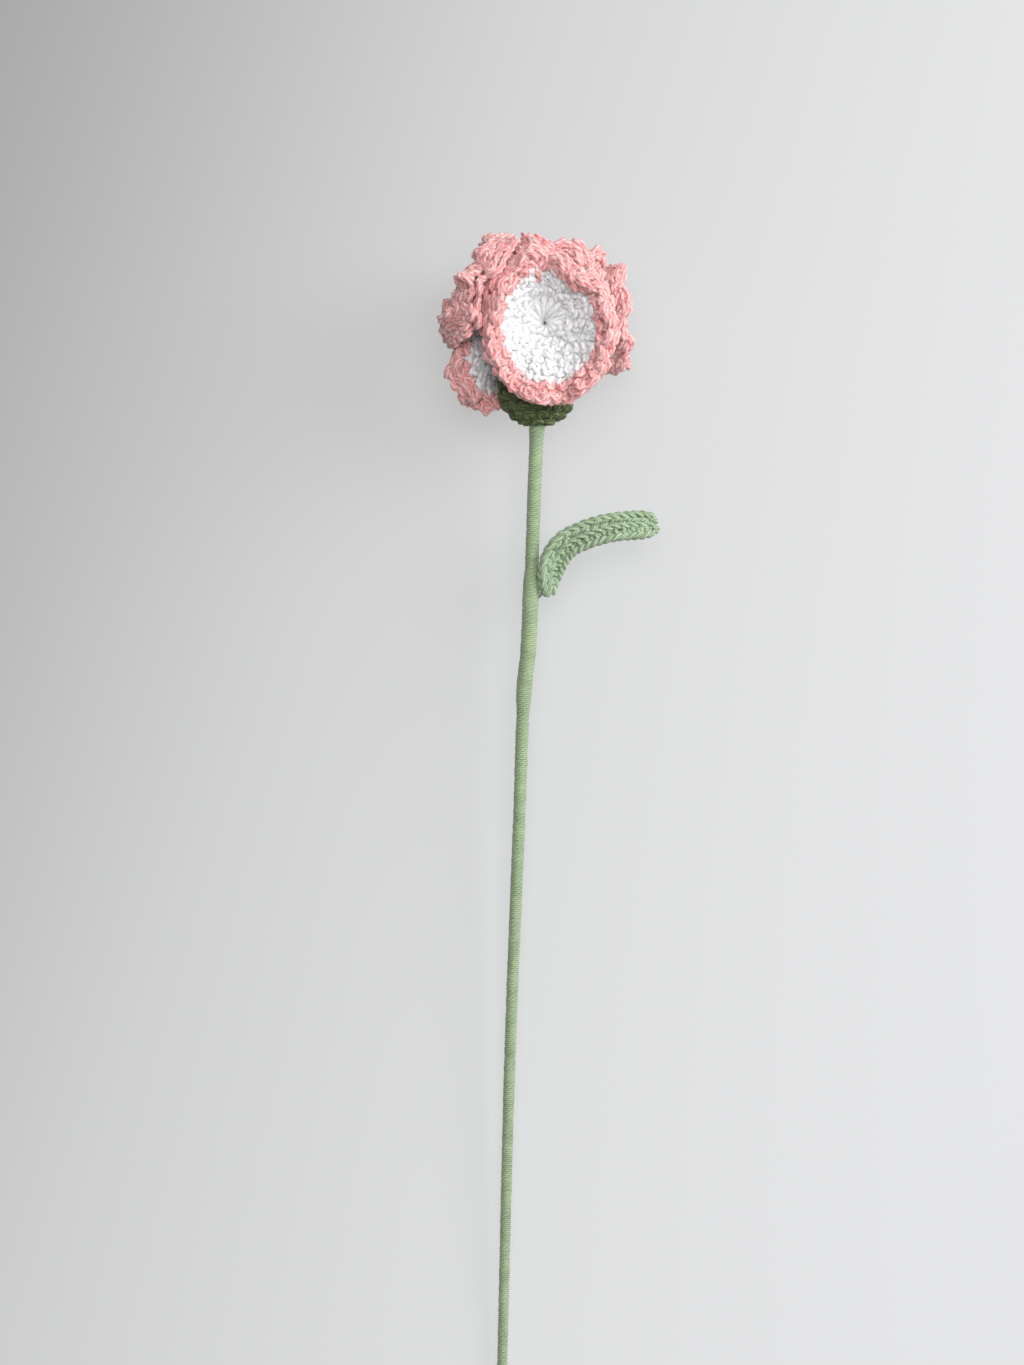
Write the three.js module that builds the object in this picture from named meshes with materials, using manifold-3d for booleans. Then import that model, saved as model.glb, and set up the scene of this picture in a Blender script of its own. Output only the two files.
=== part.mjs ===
// Crocheted carnation on a yarn-wrapped wire stem, lying on a table with its face up.
// Units are millimetres and +Z is up. The stem runs along Y with the flower at the +Y end.
// The flower is first built in its own frame (x to the right, y up the stem, z out of its
// face, origin where stem and calyx meet) and then laid down on the table at z = 0.
import * as THREE from "three";
import { mergeVertices } from "three/addons/utils/BufferGeometryUtils.js";
import Module from "manifold-3d";

const wasm = await Module();
wasm.setup();

// Driving dimensions
const clearance = 0.3; // gap between pieces that touch in the real flower
const stem = {
  length: 360, // from the calyx to the cut end
  wireDiameter: 2.0,
  wireBare: 1.5, // wire showing past the end of the wrap
  wrapTopDiameter: 5.2,
  wrapEndDiameter: 3.6,
  collarDiameter: 6.0, // first turns of the wrap, under the calyx
  collarHeight: 5,
  bindingDiameter: 6.2, // where the leaf wire is bound in
};
const hook = { height: 30, radius: 2.6 }; // top of the wire's straight part, and its bend
const restHeight = 27; // stem axis above the table, under the calyx
const calyx = { radius: 13, height: 24, wall: 3, mouthRadius: 10.8 };
const petalThickness = 4;
const head = new THREE.Vector3(2, 35, 0); // point the petals are gathered round
const pressEase = 0.3 * petalThickness; // how gently a petal bends where it is pressed
const sewing = { outerRadius: 5, height: 7, gapBelowHook: 1.5 };
const leaf = {
  along: 59, // from the calyx down the stem to the leaf's foot
  width: 10,
  thickness: 3.8,
  wireDiameter: 0.9,
  wireBound: 34, // leaf wire that lies along the stem inside the wrap
};

// How far the stem strays sideways from a straight line, by distance from the calyx
const stemBends = [
  [0, 0],
  [leaf.along / 2, -1.2],
  [leaf.along, -2.2],
  [leaf.along + 22, -3.2],
  [leaf.along + leaf.wireBound, -4.5],
  [leaf.along + 2.5 * leaf.wireBound, -6.5],
  [stem.length * 0.62, -9.6],
  [stem.length, -13],
];
// The stem slopes down from under the calyx until its end rests on the table.
const layAngle = Math.asin((restHeight - stem.wrapEndDiameter / 2) / stem.length);
const tableDown = new THREE.Vector3(0, -Math.sin(layAngle), -Math.cos(layAngle));

// One entry for each crocheted round. faces is the way it opens; root and rim are how far its
// middle and its edge lie from the head's middle along that way; reach is half its width and
// half its height; shift moves the edge sideways; ruffle is how many waves its edge has and how
// high they are. Each fold pulls the edge in towards the middle and lifts it, over a spread of
// degrees round the petal. centreShare is how much of its reach is the plain centre. within is how
// far from the head's middle the petal may stand out.
const petals = {
  front: {
    faces: [0.04, -0.02, 1],
    within: 36.5,
    centreShare: 0.74,
    root: 8,
    rim: 21,
    reach: [22, 26.5],
    shift: [2, -1],
    curl: 0.72,
    ruffle: [7, 1],
    folds: [
      { at: 92, spread: 12, pull: 0.02, lift: -6 },
      { at: 58, spread: 24, pull: 0.3, lift: 4 },
      { at: -15, spread: 30, pull: 0, lift: 2 },
      { at: -120, spread: 40, pull: 0, lift: -2 },
    ],
  },
  right: {
    faces: [0.97, 0.05, -0.06],
    within: 34,
    centreShare: 0.6,
    root: 8,
    rim: 31,
    reach: [23, 21],
    shift: [1, 2],
    curl: 0.9,
    ruffle: [6, 1.6],
    folds: [
      { at: 90, spread: 45, pull: 0, lift: -4 },
      { at: -100, spread: 50, pull: 0.12, lift: -6 },
    ],
  },
  left: {
    faces: [-0.86, 0.45, 0.05],
    within: 37,
    centreShare: 0.6,
    root: 8,
    rim: 29,
    reach: [24, 21],
    shift: [-1, 0],
    curl: 0.9,
    ruffle: [6, 1.4],
    folds: [{ at: 0, spread: 40, pull: 0.22, lift: 4 }],
  },
  side: {
    faces: [-0.8, -0.32, -0.5],
    within: 39.5,
    centreShare: 0.74,
    root: 9,
    rim: 27,
    reach: [23, 22],
    shift: [0, 0],
    curl: 0.9,
    ruffle: [5, 1.4],
    folds: [
      { at: 8, spread: 24, pull: 0.15, lift: -5 },
      { at: -42, spread: 26, pull: -0.08, lift: 3 },
      { at: -100, spread: 26, pull: 0.2, lift: -3 },
    ],
  },
  top: {
    faces: [0.14, 0.93, -0.25],
    within: 31.5,
    centreShare: 0.6,
    root: 8,
    rim: 23.5,
    reach: [25, 23],
    shift: [0, 0],
    curl: 0.85,
    ruffle: [7, 1.2],
    folds: [],
  },
  back: {
    faces: tableDown.toArray(),
    within: 36,
    centreShare: 0.65,
    root: 8,
    rim: 29,
    reach: [20, 20],
    shift: [-1, 0],
    curl: 0.8,
    ruffle: [6, 1],
    folds: [],
  },
};

const yarn = {
  pink: { color: 0xf0b0ae, roughness: 0.85, metalness: 0 },
  white: { color: 0xf2f2f4, roughness: 0.85, metalness: 0 },
  darkGreen: { color: 0x56633a, roughness: 0.9, metalness: 0 },
  lightGreen: { color: 0xa4b894, roughness: 0.85, metalness: 0 },
};
const wireSteel = { color: 0x8f9490, roughness: 0.4, metalness: 1 };

const vec = (x, y, z) => new THREE.Vector3(x, y, z);
const lerp = THREE.MathUtils.lerp;
const radians = THREE.MathUtils.degToRad;

// ---- small tools for closed meshes ----

function moveEach(geometry, place) {
  const position = geometry.getAttribute("position");
  for (let i = 0; i < position.count; i++) {
    const moved = place(vec(position.getX(i), position.getY(i), position.getZ(i)));
    position.setXYZ(i, moved.x, moved.y, moved.z);
  }
  return geometry;
}

function solidOf(geometry) {
  const bare = geometry.index ? geometry.toNonIndexed() : geometry.clone();
  bare.deleteAttribute("normal");
  bare.deleteAttribute("uv");
  const merged = mergeVertices(bare, 1e-3);
  return new wasm.Manifold(
    new wasm.Mesh({
      numProp: 3,
      vertProperties: merged.getAttribute("position").array,
      triVerts: new Uint32Array(merged.index.array),
    }),
  );
}

function geometryOf(solid) {
  const mesh = solid.getMesh();
  return new THREE.BufferGeometry()
    .setAttribute("position", new THREE.BufferAttribute(mesh.vertProperties, 3))
    .setIndex(new THREE.BufferAttribute(mesh.triVerts, 1));
}

function cutAway(geometry, ...tools) {
  return geometryOf(tools.reduce((left, tool) => left.subtract(solidOf(tool)), solidOf(geometry)));
}

function rodAlong(curve, diameter, steps, sides = 8) {
  const ring = new THREE.EllipseCurve(0, 0, diameter / 2, diameter / 2).getPoints(sides);
  const outline = new THREE.Shape(ring.slice(0, sides));
  return new THREE.ExtrudeGeometry(outline, { steps, extrudePath: curve });
}

// ---- stem ----

const bendCurve = new THREE.CatmullRomCurve3(stemBends.map(([down, aside]) => vec(aside, -down, 0)));

function stemAside(down) {
  // the sideways stray at one distance below the calyx, found by halving
  let low = 0;
  let high = 1;
  for (let i = 0; i < 24; i++) {
    const middle = (low + high) / 2;
    if (-bendCurve.getPoint(middle).y < down) low = middle;
    else high = middle;
  }
  return bendCurve.getPoint(low).x;
}

function makeStemWire() {
  const points = [];
  const end = stem.length + stem.wireBare;
  const pieces = 36;
  for (let i = 0; i <= pieces; i++) {
    const down = end * (1 - i / pieces);
    points.push(vec(down > 0 ? stemAside(Math.min(down, stem.length)) : 0, -down, 0));
  }
  points.push(vec(0, hook.height / 2, 0), vec(0, hook.height, 0));
  for (let turn = 45; turn <= 225; turn += 45) {
    const angle = radians(180 - turn);
    points.push(
      vec(hook.radius * (1 + Math.cos(angle)), hook.height + hook.radius * Math.sin(angle), 0),
    );
  }
  return rodAlong(new THREE.CatmullRomCurve3(points), stem.wireDiameter, 50);
}

function wrapRadius(down) {
  const taper = lerp(stem.wrapTopDiameter, stem.wrapEndDiameter, Math.min(1, down / stem.length)) / 2;
  const collar = (stem.collarDiameter - stem.wrapTopDiameter) / 2;
  const binding = (stem.bindingDiameter - stem.wrapTopDiameter) / 2;
  const boundFrom = leaf.along - 2;
  const boundTo = leaf.along + leaf.wireBound + 2;
  const smooth = THREE.MathUtils.smoothstep;
  return (
    taper +
    collar * (1 - smooth(down, 0, stem.collarHeight)) +
    binding * smooth(down, boundFrom - 6, boundFrom) * (1 - smooth(down, boundTo, boundTo + 8))
  );
}

// A tube along the stem that is thicker than the wrap by extra all round
function wrapTube(extra) {
  const bore = stem.wireDiameter / 2 + clearance;
  const profile = [];
  const stations = 34;
  for (let i = 0; i <= stations; i++) {
    const down = lerp(stem.length, clearance, i / stations);
    profile.push(new THREE.Vector2(wrapRadius(down) + extra, -down));
  }
  for (let i = stations; i >= 0; i--) {
    profile.push(new THREE.Vector2(bore, lerp(-stem.length, -clearance, i / stations)));
  }
  profile.push(profile[0].clone());
  return moveEach(new THREE.LatheGeometry(profile, 10), (p) => p.setX(p.x + stemAside(-p.y)));
}

function makeStemWrap(leafWirePath) {
  return cutAway(wrapTube(0), rodAlong(leafWirePath, leaf.wireDiameter + 2 * clearance, 28));
}

// ---- leaf ----

// The leaf's middle line, from its foot beside the stem to its tip
function leafLine() {
  const foot = stemAside(leaf.along) + wrapRadius(leaf.along);
  return new THREE.CatmullRomCurve3([
    vec(foot + 2.6, -leaf.along - 2, 0),
    vec(foot + 4, -leaf.along + 8, 1.5),
    vec(foot + 8.5, -leaf.along + 15.5, 3),
    vec(foot + 16, -leaf.along + 19.5, 4),
    vec(foot + 25, -leaf.along + 22, 4),
    vec(foot + 34, -leaf.along + 23, 2.5),
    vec(foot + 41.5, -leaf.along + 23.2, 0.5),
  ]);
}

// The leaf's wire runs up inside the wrap beside the stem wire and out into the leaf.
function leafWireLine(leafCurve) {
  const offset = stem.wireDiameter / 2 + leaf.wireDiameter / 2 + clearance;
  const beside = (down) => vec(stemAside(down) + offset, -down, 0);
  const points = [];
  for (let i = 0; i <= 4; i++) {
    points.push(beside(lerp(leaf.along + leaf.wireBound, leaf.along + 4, i / 4)));
  }
  for (let i = 0; i <= 8; i++) {
    points.push(leafCurve.getPoint(lerp(0.05, 0.86, i / 8)));
  }
  return new THREE.CatmullRomCurve3(points, false, "centripetal");
}

// A flat strip with rounded ends, bent along the leaf's middle line and twisted a little
function makeLeaf(leafCurve, leafWirePath) {
  const length = leafCurve.getLength();
  const half = leaf.width / 2;
  const strip = new THREE.BoxGeometry(length, leaf.width, leaf.thickness, 26, 4, 1);
  const bent = moveEach(strip, (p) => {
    const t = THREE.MathUtils.clamp(p.x / length + 0.5, 0, 1);
    const fromFoot = t * length;
    const fromTip = (1 - t) * length;
    const round = Math.min(1, 0.35 + fromFoot / (2.2 * leaf.width), 0.35 + fromTip / leaf.width);
    const across = p.y * Math.sin((round * Math.PI) / 2);
    const along = leafCurve.getTangentAt(t);
    const twist = radians(lerp(40, -12, THREE.MathUtils.smoothstep(t, 0, 0.7)));
    const side = vec(0, 0, 1).cross(along).normalize();
    const width = side.multiplyScalar(Math.cos(twist)).add(vec(0, 0, Math.sin(twist)));
    const thick = along.clone().cross(width).normalize();
    const cup = (across * across) / (half * half) * 0.8;
    return leafCurve
      .getPointAt(t)
      .addScaledVector(width, across)
      .addScaledVector(thick, p.z + cup);
  });
  const channel = rodAlong(leafWirePath, leaf.wireDiameter + 2 * clearance, 28);
  return cutAway(bent, channel, wrapTube(clearance));
}

// ---- calyx and the winding that binds the petals to the wire ----

// Radius and height of the calyx's outside, from the stem up to its mouth
function calyxOutline() {
  const r = calyx.radius;
  const h = calyx.height;
  return [
    [stem.collarDiameter / 2, 0],
    [0.55 * r, 0.07 * h],
    [0.82 * r, 0.2 * h],
    [0.97 * r, 0.38 * h],
    [r, 0.6 * h],
    [lerp(r, calyx.mouthRadius, 0.5), 0.84 * h],
    [calyx.mouthRadius, h],
  ];
}

function makeCalyx() {
  const r = calyx.radius;
  const h = calyx.height;
  const w = calyx.wall;
  const hole = stem.wireDiameter / 2 + clearance;
  const outer = calyxOutline();
  const inner = [
    [calyx.mouthRadius - w, h],
    [lerp(r, calyx.mouthRadius, 0.5) - w, 0.84 * h],
    [r - w, 0.6 * h],
    [0.97 * r - w, 0.38 * h + 0.4 * w],
    [0.6 * r - w / 2, 0.2 * h + 0.8 * w],
    [hole, w],
    [hole, 0],
  ];
  const profile = [...outer, ...inner, outer[0]].map(([x, y]) => new THREE.Vector2(x, y));
  return new THREE.LatheGeometry(profile, 24);
}

function makeSewingYarn() {
  const hole = stem.wireDiameter / 2 + clearance;
  const topAt = hook.height - sewing.gapBelowHook;
  const bulge = sewing.outerRadius - hole;
  const profile = [new THREE.Vector2(hole, topAt - sewing.height)];
  for (let i = 0; i <= 6; i++) {
    const angle = (i / 6) * Math.PI;
    profile.push(
      new THREE.Vector2(
        hole + 0.4 + (bulge - 0.4) * Math.sin(angle),
        topAt - sewing.height * (0.5 + 0.5 * Math.cos(angle)),
      ),
    );
  }
  profile.push(new THREE.Vector2(hole, topAt));
  profile.push(profile[0].clone());
  return new THREE.LatheGeometry(profile, 16);
}

// ---- petals ----

function bell(degreesApart, spread) {
  const apart = ((((degreesApart + 180) % 360) + 360) % 360) - 180;
  return Math.exp(-((apart / spread) ** 2));
}

function petalFrame(petal) {
  const out = vec(...petal.faces).normalize();
  const reference = Math.abs(out.y) > 0.8 ? vec(0, 0, 1) : vec(0, 1, 0);
  const up = reference.addScaledVector(out, -reference.dot(out)).normalize();
  const across = up.clone().cross(out);
  return { out, up, across };
}

// A distance, eased so that it never falls below least
function easedAbove(distance, least) {
  const over = (distance - least) / pressEase;
  return over > 30 ? distance : least + pressEase * Math.log1p(Math.exp(over));
}

// Petals that meet lie against each other on the plane halfway between the ways they face.
function meetingPlanes(petal) {
  const own = petalFrame(petal).out;
  return Object.values(petals)
    .map((other) => petalFrame(other).out)
    .filter((way) => way.distanceTo(own) > 1e-6)
    .map((way) => own.clone().sub(way).normalize());
}

const calyxBall = { middle: vec(0, 0.55 * calyx.height, 0), radius: 0 };
for (const [r, y] of calyxOutline()) {
  calyxBall.radius = Math.max(calyxBall.radius, Math.hypot(r, y - calyxBall.middle.y));
}

// Moves a point of a petal's sheet within its ball round the head's middle, and clear of the
// petals beside it, the calyx and the table: gently at first, then exactly
function pressed(point, petal, axes) {
  const half = petalThickness / 2;
  const reached = point.distanceTo(head);
  const inside = easedAbove(petal.within - reached, 0);
  point.sub(head).multiplyScalar((petal.within - inside) / reached).add(head);
  for (let round = 0; round < 4; round++) {
    const above = round === 0 ? easedAbove : Math.max;
    for (const normal of axes.meeting) {
      const apart = point.clone().sub(head).dot(normal);
      point.addScaledVector(normal, above(apart, half + clearance / 2) - apart);
    }
    const away = point.clone().sub(calyxBall.middle);
    const clear = above(away.length(), calyxBall.radius + half + 2 * clearance);
    point.addScaledVector(away, clear / away.length() - 1);
    const height = restHeight - point.dot(tableDown);
    point.addScaledVector(tableDown, height - above(height, half));
  }
  return point;
}

// A point of the petal's middle sheet: share is 0 at its middle and 1 at its edge, and
// turn is the angle round it, in radians.
function petalPoint(petal, axes, share, turn) {
  const degrees = THREE.MathUtils.radToDeg(turn);
  const [waves, waveHeight] = petal.ruffle;
  let pull = 1;
  let lift = waveHeight * Math.cos(waves * turn) * share ** 3;
  for (const fold of petal.folds) {
    const strength = bell(degrees - fold.at, fold.spread);
    pull -= fold.pull * strength * share;
    lift += fold.lift * strength * share * share;
  }
  const width = share * (petal.reach[0] * Math.cos(turn) * pull + petal.shift[0]);
  const height = share * (petal.reach[1] * Math.sin(turn) * pull + petal.shift[1]);
  const out = lerp(petal.root, petal.rim, share ** petal.curl) + lift;
  const point = head
    .clone()
    .addScaledVector(axes.across, width)
    .addScaledVector(axes.up, height)
    .addScaledVector(axes.out, out);
  return pressed(point, petal, axes);
}

// The ways that lead out over the petal's sheet and away from it, at one of its points
function petalWays(petal, axes, share, turn) {
  const step = 0.02;
  const s = Math.max(share, 0.06);
  const over = petalPoint(petal, axes, s + step, turn).sub(petalPoint(petal, axes, s - step, turn));
  const round = petalPoint(petal, axes, s, turn + step).sub(petalPoint(petal, axes, s, turn - step));
  return { over: over.clone().normalize(), away: over.cross(round).normalize() };
}

// Bends a flat round, made by turning a profile about y, onto the petal's sheet. In the flat
// round the distance from y is the share of the petal's reach and y is the height over the sheet.
// The part of it that lies at the join with the petal's centre is moved out over the sheet.
function bendOntoPetal(profile, petal, joinGap) {
  const axes = { ...petalFrame(petal), meeting: meetingPlanes(petal) };
  return moveEach(new THREE.LatheGeometry(profile, 36), (p) => {
    const share = Math.hypot(p.x, p.z);
    const turn = Math.atan2(-p.z, p.x);
    const { over, away } = petalWays(petal, axes, share, turn);
    const atJoin = Math.abs(share - petal.centreShare) < 1e-4;
    return petalPoint(petal, axes, share, turn)
      .addScaledVector(share < 1e-6 ? axes.out : away, p.y)
      .addScaledVector(over, atJoin ? joinGap : 0);
  });
}

function ringProfile(inner, outer, steps, extra = 0) {
  const half = petalThickness / 2 + extra;
  const profile = [];
  for (let i = 0; i <= steps; i++) {
    profile.push(new THREE.Vector2(lerp(inner, outer, i / steps), -half));
  }
  for (let i = steps; i >= 0; i--) {
    profile.push(new THREE.Vector2(lerp(inner, outer, i / steps), half));
  }
  if (inner > 0) profile.push(profile[0].clone());
  return profile;
}

// The plain centre, or with extra a copy of it that stands out by that much all round
function makePetalCentre(petal, extra = 0) {
  return bendOntoPetal(ringProfile(0, petal.centreShare, 4, extra), petal, extra);
}

// Where the sheet bends sharply the frill is cut clear of the centre.
function makePetalFrill(petal) {
  const frill = bendOntoPetal(ringProfile(petal.centreShare, 1, 2), petal, 2 * clearance);
  return cutAway(frill, makePetalCentre(petal), makePetalCentre(petal, clearance / 2));
}

// ---- assembly ----

const flower = new THREE.Group();

function addPiece(name, geometry, look) {
  const mesh = new THREE.Mesh(geometry, new THREE.MeshStandardMaterial(look));
  mesh.name = name;
  flower.add(mesh);
}

const leafCurve = leafLine();
const leafWirePath = leafWireLine(leafCurve);
addPiece("stem_wire", makeStemWire(), wireSteel);
addPiece("stem_wrap", makeStemWrap(leafWirePath), yarn.lightGreen);
addPiece("leaf", makeLeaf(leafCurve, leafWirePath), yarn.lightGreen);
addPiece("leaf_wire", rodAlong(leafWirePath, leaf.wireDiameter, 28), wireSteel);
addPiece("calyx", makeCalyx(), yarn.darkGreen);
addPiece("sewing_yarn", makeSewingYarn(), yarn.white);
for (const [name, petal] of Object.entries(petals)) {
  addPiece(name + "_petal_centre", makePetalCentre(petal), yarn.white);
  addPiece(name + "_petal_frill", makePetalFrill(petal), yarn.pink);
}

// Lay the flower down: tip it by the stem's slope and put the box's middle over the origin.
flower.rotation.x = layAngle;
flower.updateMatrixWorld(true);
const box = new THREE.Box3().setFromObject(flower, true);
flower.position.set(-(box.min.x + box.max.x) / 2, -(box.min.y + box.max.y) / 2, -box.min.z);

const carnation = new THREE.Group();
carnation.add(flower);
export default carnation;
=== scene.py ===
# Crocheted carnation on a yarn-wound wire stem, lying face up on a pale table.
# The flower's own frame is in millimetres: x to the right, y up the stem, z out of its face,
# with the origin where stem and calyx meet. place() puts a point of it on the table, in metres.
import itertools
import math
import random

import bmesh
import bpy
from mathutils import Matrix, Vector


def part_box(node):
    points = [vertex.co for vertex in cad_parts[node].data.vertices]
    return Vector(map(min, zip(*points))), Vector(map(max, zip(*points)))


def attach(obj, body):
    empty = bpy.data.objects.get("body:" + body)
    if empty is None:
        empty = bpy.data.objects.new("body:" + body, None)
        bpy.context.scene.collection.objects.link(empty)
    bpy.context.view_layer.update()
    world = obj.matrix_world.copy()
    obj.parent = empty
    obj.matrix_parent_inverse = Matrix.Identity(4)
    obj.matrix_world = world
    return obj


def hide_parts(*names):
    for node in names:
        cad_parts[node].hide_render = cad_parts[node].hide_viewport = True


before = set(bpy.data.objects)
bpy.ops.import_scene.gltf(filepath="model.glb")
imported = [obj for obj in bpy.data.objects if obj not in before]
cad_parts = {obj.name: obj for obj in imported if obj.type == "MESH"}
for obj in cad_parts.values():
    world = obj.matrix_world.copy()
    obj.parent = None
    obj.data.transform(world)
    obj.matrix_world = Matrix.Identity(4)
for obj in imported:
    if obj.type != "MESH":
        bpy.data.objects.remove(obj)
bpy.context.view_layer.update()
mm = 0.001
fullTurn = 2 * math.pi
print("frame loaded:", len(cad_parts), "nodes")

# where the flower lies

stem = {
    "length": 360,
    "topDiameter": 5.2,
    "endDiameter": 3.6,
    "collarDiameter": 6.0,  # where the winding ends against the calyx
    "collarHeight": 5,
    "bindingDiameter": 6.2,  # where it binds the leaf's wire in
    "restHeight": 27,  # of the origin above the table
}
calyx = {"radius": 13, "height": 24, "mouthRadius": 10.8, "widestAt": 0.6}
leaf = {"along": 59, "width": 10, "wireBound": 34}  # its foot is that far down the stem

layAngle = math.asin((stem["restHeight"] - stem["endDiameter"] / 2) / stem["length"])
calyxLow, calyxHigh = (Vector(corner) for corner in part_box("calyx"))
joint = Vector((
    (calyxLow.x + calyxHigh.x) / 2,
    calyxLow.y + stem["collarDiameter"] / 2 * mm * math.sin(layAngle),
    (calyxLow.z + calyxHigh.z) / 2 - calyx["widestAt"] * calyx["height"] * mm * math.sin(layAngle),
))
laid = Matrix.Translation(joint) @ Matrix.Rotation(layAngle, 4, "X") @ Matrix.Scale(mm, 4)
tableDown = Vector((0, -math.sin(layAngle), -math.cos(layAngle)))


def place(point):
    return laid @ point


def lerp(a, b, share):
    return a + (b - a) * share


def smoothstep(low, high, value):
    t = min(1, max(0, (value - low) / (high - low)))
    return t * t * (3 - 2 * t)


# camera

camera = {"lens": 85, "sensor": 36, "frameHeight": 484.6, "aim": (-8.9, -91.6, 0)}


def makeCamera():
    data = bpy.data.cameras.new("camera")
    data.lens = camera["lens"]
    data.sensor_width = camera["sensor"]
    data.clip_start = 0.01
    distance = camera["lens"] / camera["sensor"] * camera["frameHeight"]
    made = bpy.data.objects.new("camera", data)
    bpy.context.scene.collection.objects.link(made)
    aim = Vector(camera["aim"])
    turned = Matrix.Rotation(layAngle, 4, "X")
    made.matrix_world = Matrix.Translation(place(aim + Vector((0, 0, distance)))) @ turned
    bpy.context.scene.camera = made


makeCamera()
print("camera placed")

# materials


def link(tree, source, target):
    tree.links.new(source, target)


def mathNode(tree, operation, first, second=None, clamp=False):
    node = tree.nodes.new("ShaderNodeMath")
    node.operation = operation
    node.use_clamp = clamp
    for socket, value in zip(node.inputs, (first, second)):
        if value is None:
            continue
        if isinstance(value, (int, float)):
            socket.default_value = value
        else:
            link(tree, value, socket)
    return node.outputs[0]


plyPattern = {
    "crown": 0.45,  # below 1 makes the plies broad and the grooves between them narrow
    "fibreScale": 2.4,
    "fibreAround": 2.2,
    "fibreAlong": 0.9,  # less than around, so that the fibres are long
    "patchScale": 190,
    "detail": 4,
}


def makeYarnGroup():
    # plies wound round each other along a strand, and fine fibres that follow them
    tree = bpy.data.node_groups.new("yarnPlies", "ShaderNodeTree")
    for name, value in (("Plies", 3.0), ("Twists", 5.0), ("Fibre", 0.5)):
        socket = tree.interface.new_socket(name, in_out="INPUT", socket_type="NodeSocketFloat")
        socket.default_value = value
    for name in ("Height", "Groove", "Patch"):
        tree.interface.new_socket(name, in_out="OUTPUT", socket_type="NodeSocketFloat")
    given = tree.nodes.new("NodeGroupInput")
    out = tree.nodes.new("NodeGroupOutput")
    uv = tree.nodes.new("ShaderNodeUVMap")
    uv.uv_map = "UVMap"
    split = tree.nodes.new("ShaderNodeSeparateXYZ")
    link(tree, uv.outputs["UV"], split.inputs[0])
    along = mathNode(tree, "MULTIPLY", split.outputs["X"], given.outputs["Twists"])
    around = mathNode(tree, "MULTIPLY", split.outputs["Y"], given.outputs["Plies"])
    phase = mathNode(tree, "MULTIPLY", mathNode(tree, "ADD", along, around), fullTurn)
    cosine = mathNode(tree, "COSINE", phase)
    sine = mathNode(tree, "SINE", phase)
    ply = mathNode(tree, "MULTIPLY", mathNode(tree, "ADD", cosine, 1.0), 0.5)
    crown = mathNode(tree, "POWER", ply, plyPattern["crown"])
    fibrePlace = tree.nodes.new("ShaderNodeCombineXYZ")
    link(tree, mathNode(tree, "MULTIPLY", cosine, plyPattern["fibreAround"]), fibrePlace.inputs[0])
    link(tree, mathNode(tree, "MULTIPLY", sine, plyPattern["fibreAround"]), fibrePlace.inputs[1])
    link(tree, mathNode(tree, "MULTIPLY", along, plyPattern["fibreAlong"]), fibrePlace.inputs[2])
    fibre = tree.nodes.new("ShaderNodeTexNoise")
    fibre.inputs["Scale"].default_value = plyPattern["fibreScale"]
    fibre.inputs["Detail"].default_value = plyPattern["detail"]
    link(tree, fibrePlace.outputs[0], fibre.inputs["Vector"])
    fibreHeight = mathNode(tree, "MULTIPLY", fibre.outputs["Fac"], given.outputs["Fibre"])
    link(tree, mathNode(tree, "ADD", crown, fibreHeight), out.inputs["Height"])
    # Groove marks the hollows between the plies, where the yarn's colour is darkened as painted shade
    link(tree, mathNode(tree, "SUBTRACT", 1.0, crown), out.inputs["Groove"])
    where = tree.nodes.new("ShaderNodeTexCoord")
    patch = tree.nodes.new("ShaderNodeTexNoise")
    patch.inputs["Scale"].default_value = plyPattern["patchScale"]
    patch.inputs["Detail"].default_value = plyPattern["detail"]
    link(tree, where.outputs["Object"], patch.inputs["Vector"])
    link(tree, patch.outputs["Fac"], out.inputs["Patch"])
    return tree


yarnGroup = makeYarnGroup()

# light is the colour of a yarn's plies; the second colour is not the yarn's own but a painted shade
# for the grooves between them, and grooves is how strongly that painted shade shows; twists how often
# the plies turn along a strand, fibre and relief (mm) how rough it is, and inner and bleed how much
# light gets into it and how far each colour of it runs
yarns = {
    "pinkYarn": {
        "light": (0.92, 0.52, 0.51), "grooveShade": (0.60, 0.12, 0.11), "grooves": 0.8,
        "plies": 3, "twists": 3.4, "fibre": 0.5, "relief": 0.22,
        "sheen": 0.35, "roughness": 0.85, "inner": 0.4, "bleed": (1.0, 0.6, 0.55),
    },
    "whiteYarn": {
        "light": (0.86, 0.86, 0.875), "grooveShade": (0.70, 0.695, 0.705), "grooves": 0.75,
        "plies": 3, "twists": 3.4, "fibre": 0.5, "relief": 0.12,
        "sheen": 0.3, "roughness": 0.85, "inner": 0.6, "bleed": (1.0, 1.0, 1.0),
    },
    "darkGreenYarn": {
        "light": (0.14, 0.19, 0.06), "grooveShade": (0.012, 0.024, 0.003), "grooves": 0.75,
        "plies": 3, "twists": 3.4, "fibre": 0.8, "relief": 0.24,
        "sheen": 0.12, "roughness": 0.9, "inner": 0.05, "bleed": (0.6, 0.8, 0.4),
    },
    "leafYarn": {
        "light": (0.38, 0.49, 0.32), "grooveShade": (0.12, 0.20, 0.09), "grooves": 0.75,
        "plies": 3, "twists": 4, "fibre": 0.6, "relief": 0.18,
        "sheen": 0.3, "roughness": 0.75, "inner": 0.1, "bleed": (0.7, 0.9, 0.6),
    },
    "windingYarn": {
        "light": (0.34, 0.44, 0.26), "grooveShade": (0.055, 0.11, 0.03), "grooves": 0.3,
        "plies": 2, "twists": 2801, "fibre": 1.2, "relief": 0.12,
        "sheen": 0.25, "roughness": 0.6, "inner": 0.05, "bleed": (0.7, 0.9, 0.6),
    },
}
# the same for every yarn: its uneven colour, how strongly the relief shows, and its soft surface
yarnFinish = {
    "patchMiddle": 0.42,
    "patchDepth": 0.9,
    "bump": 0.8,
    "sheenRoughness": 0.5,
    "bleedDepth": 1.5,  # mm
}


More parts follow.
